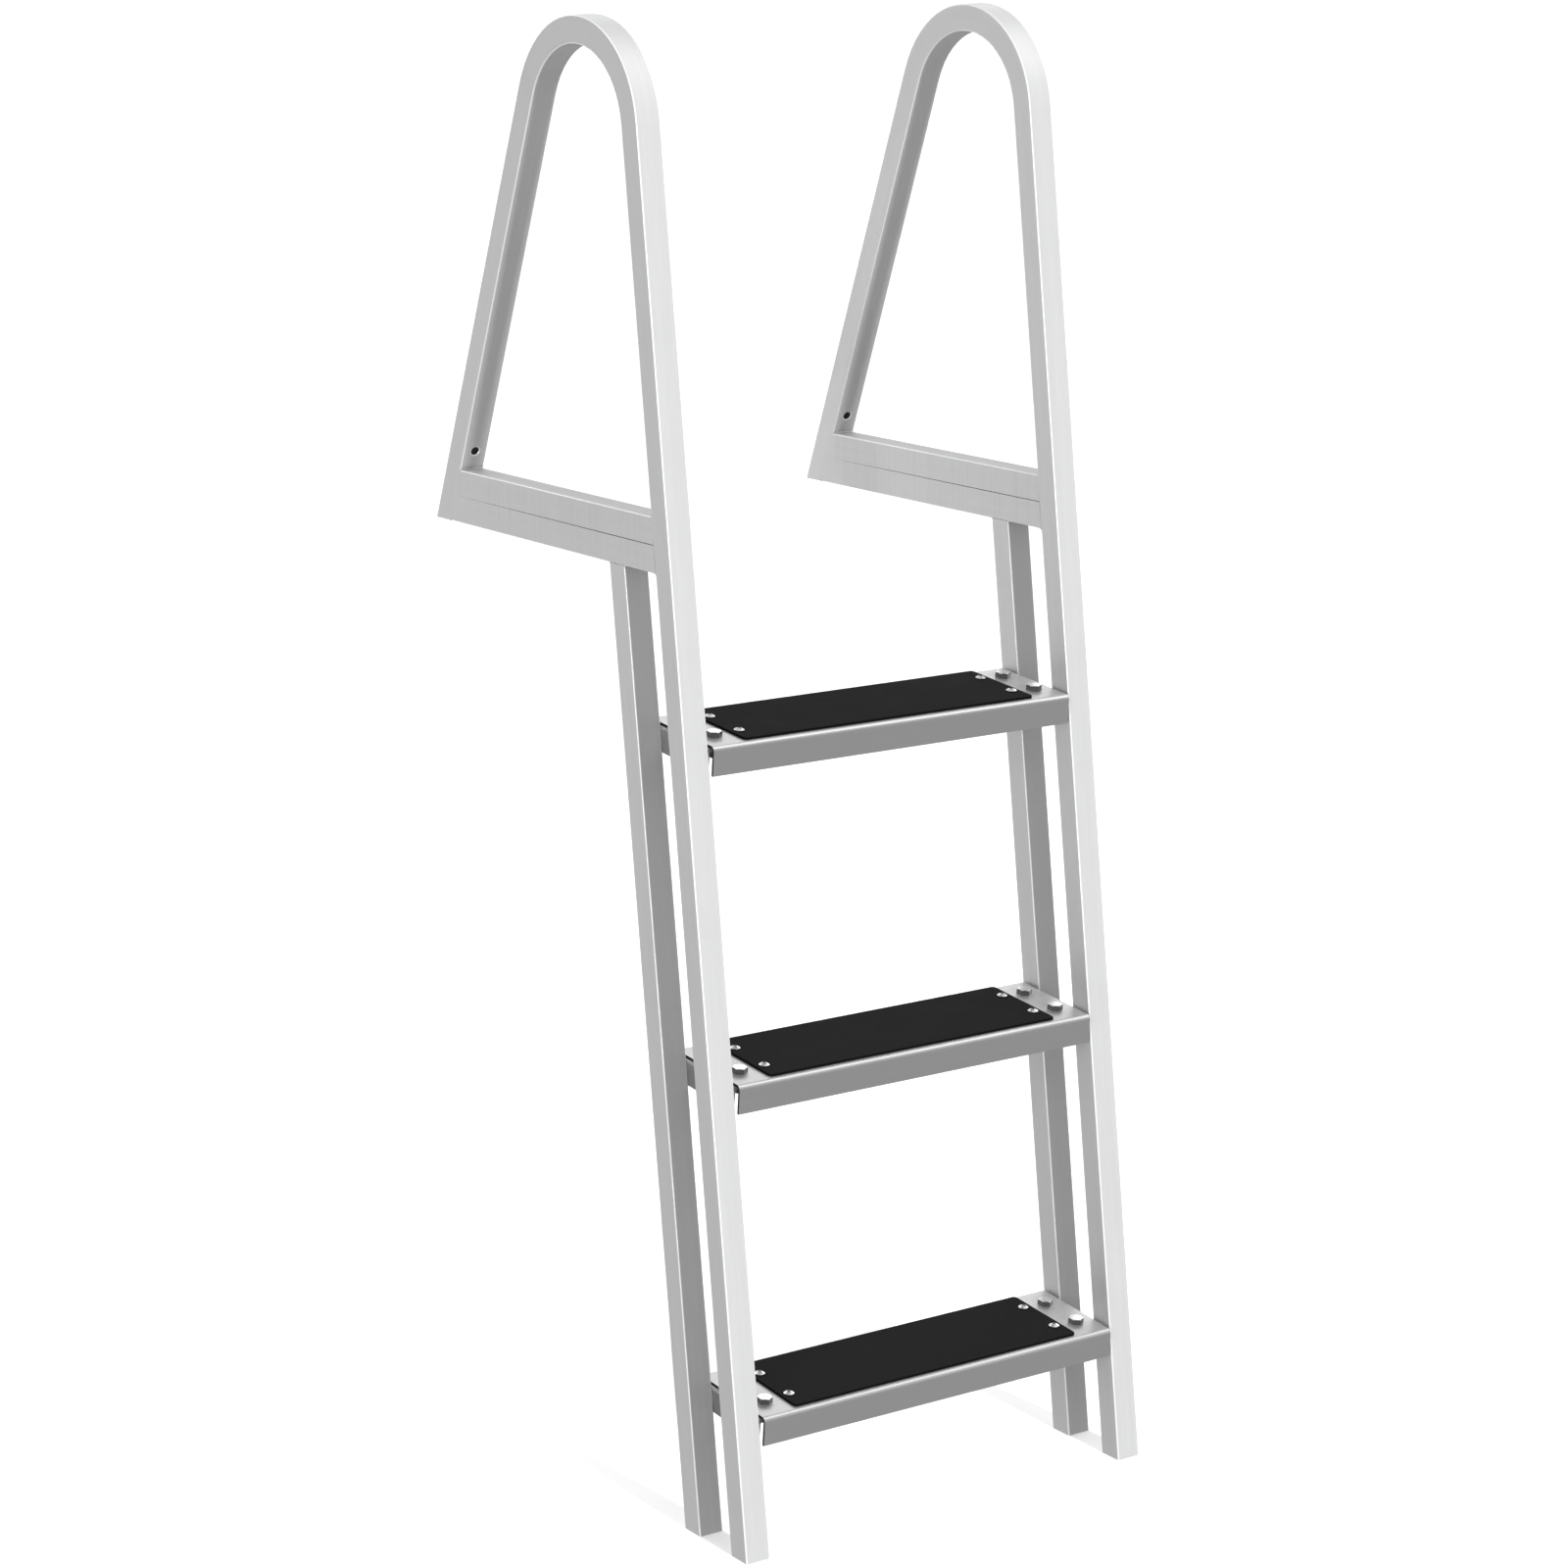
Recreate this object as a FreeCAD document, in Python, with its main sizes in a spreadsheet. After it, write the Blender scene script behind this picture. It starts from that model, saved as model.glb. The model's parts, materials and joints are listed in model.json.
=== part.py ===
import FreeCAD, Part
import math
import os

import Sketcher

# Boat boarding ladder: two hairpin handrail frames of square aluminium tube joined by three bolted steps.
# Millimetres, +Z up. X runs along the steps, +Y points back over the dock, and the origin lies under the
# middle of the whole ladder, at the level of its feet.

Vector = FreeCAD.Vector

# Driving dimensions. Angles are in degrees, everything else in millimetres.
DIMENSIONS = {
    "frame_width": 460.0,  # outside of the left frame to outside of the right one
    "tube": 25.4,  # square tube, across the flats
    "tube_wall": 2.0,
    "tube_round": 1.5,  # radius on the tube's long edges
    "leg_tilt": 7.4,  # both legs lean back from their feet by this much
    "rail_tilt": 21.5,  # the back tube leans forward from the dock end by this much
    "rail_reach": 530.0,  # front of the feet to the dock end of the bracket
    "bar_height": 893.0,  # feet to the underside of the bracket bars
    "bend_radius": 90.0,  # hairpin bend, to the tube's centre line
    "leg_spacing": 76.2,  # front face to front face of the two legs
    "hole_dia": 8.4,  # fixing hole through the back tube
    "hole_chamfer": 0.6,
    "hole_rise": 18.0,  # fixing hole above the top of the upper bar
    "step_first": 131.0,  # feet to the front edge of the lowest step
    "step_pitch": 305.0,
    "step_tilt": 5.0,  # the steps' front edges are lower by this much
    "step_depth": 108.0,
    "step_drop": 27.5,  # height of the step's flanges
    "step_sheet": 2.5,
    "step_bend": 5.0,  # outside radius of the folds
    "step_gap": 3.0,  # between the step's end and the leg
    "step_overhang": 5.5,  # step ahead of the front leg
    "mat_length": 328.0,
    "mat_depth": 96.0,
    "mat_thick": 2.5,
    "mat_setback": 7.0,  # mat behind the step's front face
    "mat_corner": 4.0,
    "mat_edge": 0.6,
    "bolt_offset": 182.0,  # step bolts from the middle of the step
    "screw_offset": 155.0,  # mat screws from the middle of the step
    "fastener_span": 48.0,  # front row to back row
    "bracket_width": 38.0,
    "bracket_drop": 23.5,
    "bracket_sheet": 3.0,
    "bracket_length": 94.0,
    "bracket_round": 3.0,
    "bracket_fillet": 4.0,
    "bolt_dia": 8.0,
    "bolt_length": 20.0,
    "bolt_flats": 13.0,
    "bolt_head": 5.3,
    "bolt_hole": 9.0,
    "bolt_tip": 0.8,
    "washer_dia": 16.0,
    "washer_bore": 8.4,
    "washer_sheet": 1.6,
    "nut_bore": 8.1,
    "nut_height": 6.8,
    "hex_crown": 0.9,  # depth of the chamfer on the corners of heads and nuts
    "screw_dia": 5.0,
    "screw_length": 12.0,
    "screw_head_dia": 10.0,
    "screw_head": 2.3,
    "screw_rim": 0.5,  # straight edge under the domed head
    "screw_hole": 5.5,
    "recess_span": 4.8,
    "recess_slot": 1.1,
    "recess_depth": 1.4,
    "mat_nut_flats": 8.0,
    "mat_nut_bore": 5.1,
    "mat_nut_height": 4.0,
}

STEPS = ("lower", "middle", "upper")
SIDES = {"left": -1, "right": 1}
OVERRUN = 5.0  # how far a cut runs past the face it opens


doc = FreeCAD.newDocument("boarding_ladder")
dims = doc.addObject("Spreadsheet::Sheet", "dims")
for row, (alias, size) in enumerate(DIMENSIONS.items(), start=1):
    dims.set(f"A{row}", alias)
    dims.set(f"B{row}", str(size))
    dims.setAlias(f"B{row}", alias)
doc.recompute()

subparts = []


# ---------------------------------------------------------------- expressions


def dim(name):
    return f"dims.{name}"


def value(expression):
    """The present value of an expression, used only to start a sketch near its solution."""
    return float(dims.evalExpression(str(expression)))


BAR_TOP = f"({dim('bar_height')} + 2 * {dim('tube')})"
INNER_HALF = f"({dim('frame_width')} / 2 - {dim('tube')})"
STEP_LENGTH = f"(2 * {INNER_HALF} - 2 * {dim('step_gap')})"


def leg_line(offset, height):
    """Y of a line parallel to the front leg's front face, offset behind it, at a height above the feet."""
    return f"(({offset}) / cos({dim('leg_tilt')}) + ({height}) * tan({dim('leg_tilt')}))"


def rail_line(offset, height):
    """Y of a line parallel to the back tube's back face, offset ahead of it, at a height above the feet."""
    rise = f"(({height}) - {dim('bar_height')})"
    return f"({dim('rail_reach')} - ({offset}) / cos({dim('rail_tilt')}) - {rise} * tan({dim('rail_tilt')}))"


# ---------------------------------------------------------------- bodies, sketches and features


def new_body(label):
    body = doc.addObject("PartDesign::Body", label)
    body.Label = label
    body.AllowCompound = True
    subparts.append(body)
    return body


def place(body, x="0", y="0", z="0"):
    """Put a body down. Y is counted from the front of the feet, so half the reach is taken off."""
    body.setExpression("Placement.Base.x", f"{x}")
    body.setExpression("Placement.Base.y", f"{y} - {dim('rail_reach')} / 2")
    body.setExpression("Placement.Base.z", f"{z}")


def new_sketch(body, role, name, lift=None):
    sketch = body.newObject("Sketcher::SketchObject", name)
    plane = next(item for item in body.Origin.OriginFeatures if item.Role == role)
    sketch.AttachmentSupport = [(plane, "")]
    sketch.MapMode = "FlatFace"
    if lift is not None:
        sketch.setExpression("AttachmentOffset.Base.z", lift)
    return sketch


def constrain(sketch, kind, *where, size):
    start = math.radians(value(size)) if kind == "Angle" else value(size)
    index = sketch.addConstraint(Sketcher.Constraint(kind, *where, start))
    sketch.setExpression(f"Constraints[{index}]", str(size))


def pin_point(sketch, edge, end, point):
    """Hold one end of a sketch edge at a point given by two expressions."""
    constrain(sketch, "DistanceX", -1, 1, edge, end, size=point[0])
    constrain(sketch, "DistanceY", -1, 1, edge, end, size=point[1])


def polygon(sketch, points):
    """A closed outline of straight edges through points given as pairs of expressions."""
    corners = [Vector(value(across), value(up), 0) for across, up in points]
    count = len(corners)
    first = sketch.GeometryCount
    for index in range(count):
        edge = Part.LineSegment(corners[index], corners[(index + 1) % count])
        sketch.addGeometry(edge, False)
    for index in range(count):
        following = first + (index + 1) % count
        sketch.addConstraint(Sketcher.Constraint("Coincident", first + index, 2, following, 1))
        pin_point(sketch, first + index, 1, points[index])


def rectangle(sketch, low, high):
    polygon(sketch, [(low[0], low[1]), (high[0], low[1]), (high[0], high[1]), (low[0], high[1])])


def circle(sketch, diameter, centre=("0", "0")):
    start = Vector(value(centre[0]), value(centre[1]), 0)
    radius = value(diameter) / 2
    index = sketch.addGeometry(Part.Circle(start, Vector(0, 0, 1), radius), False)
    constrain(sketch, "Diameter", index, size=diameter)
    pin_point(sketch, index, 3, centre)


def hexagon(sketch, flats):
    """Six equal sides around the sketch's origin, with two flats square to X."""
    corner = f"({flats} / sqrt(3))"
    points = []
    for side in range(6):
        angle = 30 + 60 * side
        points.append((f"{corner} * cos({angle})", f"{corner} * sin({angle})"))
    polygon(sketch, points)


def pad(body, sketch, length, both_ways=True, down=False):
    feature = body.newObject("PartDesign::Pad", f"{body.Name}_pad")
    feature.Profile = sketch
    feature.SideType = "Symmetric" if both_ways else "One side"
    feature.Reversed = down
    feature.setExpression("Length", str(length))
    feature.Refine = False
    sketch.Visibility = False
    doc.recompute()
    return feature


def removes(body, feature, before):
    doc.recompute()
    if not body.Shape.Volume < before - 1e-3:
        raise ValueError(f"{feature.Label} cuts nothing from {body.Label}")


def pocket(body, sketch, length, both_ways=True, upward=False):
    before = body.Shape.Volume
    feature = body.newObject("PartDesign::Pocket", f"{body.Name}_pocket")
    feature.Profile = sketch
    feature.SideType = "Symmetric" if both_ways else "One side"
    feature.Reversed = upward
    feature.setExpression("Length", str(length))
    feature.Refine = False
    removes(body, feature, before)
    return feature


def turned_cut(body, sketch, axis):
    """A groove all the way round one of the sketch's own axes."""
    before = body.Shape.Volume
    feature = body.newObject("PartDesign::Groove", f"{body.Name}_groove")
    feature.Profile = sketch
    feature.ReferenceAxis = (sketch, [axis])
    feature.Angle = 360.0
    feature.Refine = False
    removes(body, feature, before)
    return feature


def edge_names(feature, wanted):
    """The names of the edges of a feature's shape that a test picks out."""
    return [f"Edge{n}" for n, edge in enumerate(feature.Shape.Edges, start=1) if wanted(edge)]


def fillet(body, radius, wanted):
    """Round the edges of the body's last feature that a test picks out."""
    base = body.Tip
    names = edge_names(base, wanted)
    feature = body.newObject("PartDesign::Fillet", f"{body.Name}_fillet")
    feature.Base = (base, names)
    feature.setExpression("Radius", str(radius))
    feature.Refine = False
    doc.recompute()
    return feature


def corners_pattern(body, last, across, along):
    """Repeat the whole body so far at the four corners of a rectangle."""
    feature = body.newObject("PartDesign::LinearPattern", f"{body.Name}_pattern")
    feature.Originals = [last]
    feature.TransformMode = "Whole shape"
    axes = {item.Role: item for item in body.Origin.OriginFeatures}
    feature.Direction = (axes["X_Axis"], [""])
    feature.setExpression("Length", str(across))
    feature.Occurrences = 2
    feature.Direction2 = (axes["Y_Axis"], [""])
    feature.setExpression("Length2", str(along))
    feature.Occurrences2 = 2
    feature.Refine = False
    body.Tip = feature
    doc.recompute()


def level(edge):
    return edge.BoundBox.ZLength < 1e-3


def on_plane(edge, axis, place_mm):
    low = getattr(edge.BoundBox, f"{axis}Min")
    high = getattr(edge.BoundBox, f"{axis}Max")
    return abs(low - place_mm) < 1e-3 and abs(high - place_mm) < 1e-3


def on_tube_side(edge):
    half = DIMENSIONS["tube"] / 2
    return on_plane(edge, "X", half) or on_plane(edge, "X", -half)


# ---------------------------------------------------------------- side frames


def hollow(body, draw):
    """Square tube: a solid drawn in side view, its long edges rounded by now, and the bore cut inside it."""
    cavity = new_sketch(body, "YZ_Plane", f"{body.Name}_cavity")
    draw(cavity, dim("tube_wall"), OVERRUN)
    pocket(body, cavity, f"{dim('tube')} - 2 * {dim('tube_wall')}")


def side_x(side):
    return f"{SIDES[side]} * ({dim('frame_width')} - {dim('tube')}) / 2"


def draw_handrail(sketch, inset, overrun):
    """Side view of the handrail: front leg up from the foot, hairpin bend, back tube down to the dock end.

    inset draws it that far inside the tube's faces, and overrun carries the two open ends further down.
    """
    foot = f"(-{overrun})"
    heel = f"({dim('bar_height')} - {overrun})"
    inner = f"({dim('tube')} - {inset})"
    outer_radius = f"({dim('bend_radius')} + {dim('tube')} / 2 - {inset})"
    inner_radius = f"({dim('bend_radius')} - {dim('tube')} / 2 + {inset})"
    ends = {
        "front_outer": (leg_line(inset, foot), foot),
        "front_inner": (leg_line(inner, foot), foot),
        "back_inner": (rail_line(inner, heel), heel),
        "back_outer": (rail_line(inset, heel), heel),
    }
    corners = {name: Vector(value(y), value(z), 0) for name, (y, z) in ends.items()}

    # the middle of the bend lies the same distance inside both outer faces
    leg_angle = math.radians(value(dim("leg_tilt")))
    rail_angle = math.radians(value(dim("rail_tilt")))
    up_leg = Vector(math.sin(leg_angle), math.cos(leg_angle), 0)
    up_rail = Vector(-math.sin(rail_angle), math.cos(rail_angle), 0)
    off_leg = Vector(-up_leg.y, up_leg.x, 0)
    off_rail = Vector(up_rail.y, -up_rail.x, 0)
    from_leg = corners["front_outer"] - off_leg * value(outer_radius)
    from_rail = corners["back_outer"] - off_rail * value(outer_radius)
    gap = from_rail - from_leg
    along = (gap.x * up_rail.y - gap.y * up_rail.x) / (up_leg.x * up_rail.y - up_leg.y * up_rail.x)
    centre = from_leg + up_leg * along

    def straight(name, off, radius):
        tangent = centre + off * value(radius)
        return sketch.addGeometry(Part.LineSegment(corners[name], tangent), False)

    front_outer = straight("front_outer", off_leg, outer_radius)
    front_inner = straight("front_inner", off_leg, inner_radius)
    back_inner = straight("back_inner", off_rail, inner_radius)
    back_outer = straight("back_outer", off_rail, outer_radius)
    foot_cut = sketch.addGeometry(Part.LineSegment(corners["front_outer"], corners["front_inner"]), False)
    heel_cut = sketch.addGeometry(Part.LineSegment(corners["back_inner"], corners["back_outer"]), False)
    lines = {
        "front_outer": front_outer,
        "front_inner": front_inner,
        "back_inner": back_inner,
        "back_outer": back_outer,
    }
    for name, line in lines.items():
        pin_point(sketch, line, 1, ends[name])
    for cut, start, end in ((foot_cut, front_outer, front_inner), (heel_cut, back_inner, back_outer)):
        sketch.addConstraint(Sketcher.Constraint("Coincident", cut, 1, start, 1))
        sketch.addConstraint(Sketcher.Constraint("Coincident", cut, 2, end, 1))
    for line in (front_outer, front_inner):
        constrain(sketch, "Angle", line, size=f"(90 - {dim('leg_tilt')}) * 1deg")
    for line in (back_inner, back_outer):
        constrain(sketch, "Angle", line, size=f"(90 + {dim('rail_tilt')}) * 1deg")
    for radius, back, front in (
        (outer_radius, back_outer, front_outer),
        (inner_radius, back_inner, front_inner),
    ):
        whole = Part.Circle(centre, Vector(0, 0, 1), value(radius))
        bend = sketch.addGeometry(Part.ArcOfCircle(whole, rail_angle, math.pi - leg_angle), False)
        sketch.addConstraint(Sketcher.Constraint("Tangent", bend, 1, back, 2))
        sketch.addConstraint(Sketcher.Constraint("Tangent", bend, 2, front, 2))
        constrain(sketch, "Radius", bend, size=radius)


def fixing_hole(body):
    """Hole square through both walls of the back tube, chamfered on the face towards the climber."""
    height = f"({BAR_TOP} + {dim('hole_rise')})"
    mouth = (rail_line(dim("tube"), height), height)
    radius = f"({dim('hole_dia')} / 2)"
    wide = f"({radius} + {dim('hole_chamfer')})"
    beyond = f"({dim('tube')} + {OVERRUN})"
    outline = [
        (f"-{OVERRUN}", "0"),
        (f"-{OVERRUN}", wide),
        ("0", wide),
        (dim("hole_chamfer"), radius),
        (beyond, radius),
        (beyond, "0"),
    ]
    cosine = f"cos({dim('rail_tilt')})"
    sine = f"sin({dim('rail_tilt')})"
    points = []
    for depth, out in outline:
        across = f"{mouth[0]} + ({depth}) * {cosine} - ({out}) * {sine}"
        up = f"{mouth[1]} + ({depth}) * {sine} + ({out}) * {cosine}"
        points.append((across, up))
    sketch = new_sketch(body, "YZ_Plane", f"{body.Name}_hole")
    polygon(sketch, points)
    ends = [Vector(value(points[index][0]), value(points[index][1]), 0) for index in (0, -1)]
    axis = sketch.addGeometry(Part.LineSegment(*ends), True)
    pin_point(sketch, axis, 1, points[0])
    pin_point(sketch, axis, 2, points[-1])
    turned_cut(body, sketch, "Axis0")


def handrail(side):
    body = new_body(f"handrail_{side}")
    sketch = new_sketch(body, "YZ_Plane", f"{body.Name}_outline")
    draw_handrail(sketch, "0", "0")
    pad(body, sketch, dim("tube"))
    fillet(body, dim("tube_round"), lambda edge: on_tube_side(edge) and not level(edge))
    hollow(body, draw_handrail)
    fixing_hole(body)
    place(body, x=side_x(side))


def rear_leg(side):
    def draw(sketch, inset, overrun):
        front = f"({dim('leg_spacing')} + {inset})"
        back = f"({dim('leg_spacing')} + {dim('tube')} - {inset})"
        low = f"(-{overrun})"
        high = f"({dim('bar_height')} + {overrun})"
        points = [
            (leg_line(front, low), low),
            (leg_line(back, low), low),
            (leg_line(back, high), high),
            (leg_line(front, high), high),
        ]
        polygon(sketch, points)

    body = new_body(f"rear_leg_{side}")
    sketch = new_sketch(body, "YZ_Plane", f"{body.Name}_outline")
    draw(sketch, "0", "0")
    pad(body, sketch, dim("tube"))
    fillet(body, dim("tube_round"), lambda edge: on_tube_side(edge) and not level(edge))
    hollow(body, draw)
    place(body, x=side_x(side))


def bracket_bar(level_name, side):
    """One of the two stacked bars, cut to fit between the front leg and the sloping back tube."""
    course = {"lower": 0, "upper": 1}[level_name]
    base = f"({dim('bar_height')} + {course} * {dim('tube')})"

    def draw(sketch, inset, overrun, extra=()):
        low = f"({base} + {inset})"
        high = f"({base} + {dim('tube')} - {inset})"
        points = [(f"{leg_line(dim('tube'), low)} - {overrun}", low)]
        points += [(y, low) for y in extra]
        points += [
            (f"{rail_line(dim('tube'), low)} + {overrun}", low),
            (f"{rail_line(dim('tube'), high)} + {overrun}", high),
            (f"{leg_line(dim('tube'), high)} - {overrun}", high),
        ]
        polygon(sketch, points)

    body = new_body(f"{level_name}_bar_{side}")
    sketch = new_sketch(body, "YZ_Plane", f"{body.Name}_outline")
    # the lower bar's underside is divided where the rear leg is welded to it: the length behind that
    # line is what rests on the dock
    weld_line = leg_line(f"{dim('leg_spacing')} + {dim('tube')}", base)
    draw(sketch, "0", "0", extra=(weld_line,) if level_name == "lower" else ())
    pad(body, sketch, dim("tube"))
    fillet(body, dim("tube_round"), lambda edge: on_tube_side(edge) and level(edge))
    hollow(body, draw)
    place(body, x=side_x(side))


# ---------------------------------------------------------------- steps


def place_on_step(body, number, x="0", across="0", up="0"):
    """Put a body down in a step's own tilted frame, counted from the middle of the step's top."""
    cosine, sine = f"cos({dim('step_tilt')})", f"sin({dim('step_tilt')})"
    front_z = f"({dim('step_first')} + {number} * {dim('step_pitch')})"
    front_y = f"({leg_line('0', front_z)} - {dim('step_overhang')})"
    back = f"({dim('step_depth')} / 2 + {across})"
    tilt = DIMENSIONS["step_tilt"]
    body.Placement = FreeCAD.Placement(Vector(), FreeCAD.Rotation(Vector(1, 0, 0), tilt))
    body.setExpression("Placement.Rotation.Angle", f"{dim('step_tilt')} * 1deg")
    place(
        body,
        x=x,
        y=f"{front_y} + {back} * {cosine} - ({up}) * {sine}",
        z=f"{front_z} + {back} * {sine} + ({up}) * {cosine}",
    )


def fastener_points(offset):
    """The four places of a step's bolts or screws, from the middle of the step."""
    half_span = f"{dim('fastener_span')} / 2"
    return [(f"{x} * {offset}", f"{y} * {half_span}") for x in (-1, 1) for y in (-1, 1)]


def step_channel(number, name):
    """Inverted channel folded from sheet. Its own origin is level with the flanges' lower edges."""
    body = new_body(f"step_{name}")
    half = f"({dim('step_depth')} / 2)"
    inner_half = f"({half} - {dim('step_sheet')})"
    section = new_sketch(body, "YZ_Plane", f"{body.Name}_section")
    rectangle(section, (f"-{half}", "0"), (half, dim("step_drop")))
    pad(body, section, STEP_LENGTH)
    top, depth = DIMENSIONS["step_drop"], DIMENSIONS["step_depth"]
    fillet(
        body,
        dim("step_bend"),
        lambda edge: on_plane(edge, "Z", top) and edge.BoundBox.YLength < 1e-3,
    )
    inside = new_sketch(body, "YZ_Plane", f"{body.Name}_inside")
    rectangle(
        inside,
        (f"-{inner_half}", f"-{OVERRUN}"),
        (inner_half, f"{dim('step_drop')} - {dim('step_sheet')}"),
    )
    pocket(body, inside, f"{STEP_LENGTH} + {OVERRUN}")
    under = top - DIMENSIONS["step_sheet"]
    inner_y = depth / 2 - DIMENSIONS["step_sheet"]
    fillet(
        body,
        f"{dim('step_bend')} - {dim('step_sheet')}",
        lambda edge: on_plane(edge, "Z", under)
        and (on_plane(edge, "Y", inner_y) or on_plane(edge, "Y", -inner_y)),
    )
    holes = new_sketch(body, "XY_Plane", f"{body.Name}_holes", lift=dim("step_drop"))
    for centre in fastener_points(dim("bolt_offset")):
        circle(holes, dim("bolt_hole"), centre)
    for centre in fastener_points(dim("screw_offset")):
        circle(holes, dim("screw_hole"), centre)
    pocket(body, holes, f"4 * {dim('step_sheet')}")
    place_on_step(body, number, up=f"-{dim('step_drop')}")


def mat(number, name):
    body = new_body(f"mat_{name}")
    half_length = f"({dim('mat_length')} / 2)"
    front = f"({dim('mat_setback')} - {dim('step_depth')} / 2)"
    sketch = new_sketch(body, "XY_Plane", f"{body.Name}_outline")
    rectangle(sketch, (f"-{half_length}", front), (half_length, f"{front} + {dim('mat_depth')}"))
    pad(body, sketch, dim("mat_thick"), both_ways=False)
    fillet(body, dim("mat_corner"), lambda edge: edge.BoundBox.ZLength > 1)
    thick = DIMENSIONS["mat_thick"]
    fillet(body, dim("mat_edge"), lambda edge: on_plane(edge, "Z", thick))
    holes = new_sketch(body, "XY_Plane", f"{body.Name}_holes")
    for centre in fastener_points(dim("screw_offset")):
        circle(holes, dim("screw_hole"), centre)
    pocket(body, holes, f"4 * {dim('mat_thick')}")
    place_on_step(body, number)


def angle_bracket(number, name, side):
    """Angle welded across the inner faces of both legs."""
    body = new_body(f"bracket_{name}_{side}")
    sign = SIDES[side]
    leg_side = f"{sign} * {INNER_HALF}"
    inside = f"{sign} * ({INNER_HALF} - {dim('bracket_sheet')})"
    inboard = f"{sign} * ({INNER_HALF} - {dim('bracket_width')})"
    web = f"({dim('bracket_drop')} - {dim('bracket_sheet')})"
    points = [
        (inboard, dim("bracket_drop")),
        (inboard, web),
        (inside, web),
        (inside, "0"),
        (leg_side, "0"),
        (leg_side, dim("bracket_drop")),
    ]
    section = new_sketch(body, "XZ_Plane", f"{body.Name}_section")
    polygon(section, points)
    pad(body, section, dim("bracket_length"))
    outer = value(leg_side)
    top = DIMENSIONS["bracket_drop"]
    fillet(
        body,
        dim("bracket_round"),
        lambda edge: on_plane(edge, "X", outer) and on_plane(edge, "Z", top),
    )
    inner = value(inside)
    under = top - DIMENSIONS["bracket_sheet"]
    fillet(
        body,
        dim("bracket_fillet"),
        lambda edge: on_plane(edge, "X", inner) and on_plane(edge, "Z", under),
    )
    holes = new_sketch(body, "XY_Plane", f"{body.Name}_holes", lift=dim("bracket_drop"))
    for end in (-1, 1):
        centre = (f"{sign} * {dim('bolt_offset')}", f"{end} * {dim('fastener_span')} / 2")
        circle(holes, dim("bolt_hole"), centre)
    pocket(body, holes, f"4 * {dim('bracket_sheet')}")
    place_on_step(body, number, up=f"-{dim('step_sheet')} - {dim('bracket_drop')}")


# ---------------------------------------------------------------- fasteners, four to a step


def spread(body, last, offset, number, up):
    """Repeat a fastener at the four places of a step and put the group in place."""
    corners_pattern(body, last, f"2 * {offset}", dim("fastener_span"))
    place_on_step(body, number, x=f"-{offset}", across=f"-{dim('fastener_span')} / 2", up=up)


def crown(body, flats, height, underside=False):
    """Chamfer the six corners of a head or nut at its top, or at its bottom, with a thirty degree cone."""
    flat_radius = f"({flats} / 2)"
    # the cone meets the end face at the flats' radius and leaves the corners hex_crown lower
    reach = f"({dim('hex_crown')} / tan(30))"
    edge = "0" if underside else height
    sign = 1 if underside else -1
    points = [
        (flat_radius, edge),
        (f"{flat_radius} + {reach}", f"{edge} + {sign} * {dim('hex_crown')}"),
        (f"{flat_radius} + {reach}", edge),
    ]
    sketch = new_sketch(body, "XZ_Plane", f"{body.Name}_crown")
    polygon(sketch, points)
    return turned_cut(body, sketch, "V_Axis")


def step_bolts(number, name):
    """Hex bolts, heads on the step's top."""
    body = new_body(f"step_bolts_{name}")
    head = new_sketch(body, "XY_Plane", f"{body.Name}_head")
    hexagon(head, dim("bolt_flats"))
    pad(body, head, dim("bolt_head"), both_ways=False)
    crown(body, dim("bolt_flats"), dim("bolt_head"))
    shank = new_sketch(body, "XY_Plane", f"{body.Name}_shank")
    circle(shank, dim("bolt_dia"))
    pad(body, shank, dim("bolt_length"), both_ways=False, down=True)
    tip = -DIMENSIONS["bolt_length"]
    blunt = body.Tip
    chamfer = body.newObject("PartDesign::Chamfer", f"{body.Name}_tip")
    chamfer.Base = (blunt, edge_names(blunt, lambda edge: on_plane(edge, "Z", tip)))
    chamfer.setExpression("Size", dim("bolt_tip"))
    doc.recompute()
    spread(body, chamfer, dim("bolt_offset"), number, "0")


def ring_group(label, number, offset, outer, bore, thickness, up, flats=None):
    """Washers or nuts: a disc or a hexagon with a hole, its own origin on its lower face."""
    body = new_body(label)
    blank = new_sketch(body, "XY_Plane", f"{body.Name}_blank")
    if flats:
        hexagon(blank, flats)
    else:
        circle(blank, outer)
        circle(blank, bore)
    last = pad(body, blank, thickness, both_ways=False)
    if flats:
        crown(body, flats, thickness)
        crown(body, flats, thickness, underside=True)
        hole = new_sketch(body, "XY_Plane", f"{body.Name}_bore")
        circle(hole, bore)
        last = pocket(body, hole, f"4 * {thickness}")
    spread(body, last, offset, number, up)


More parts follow.
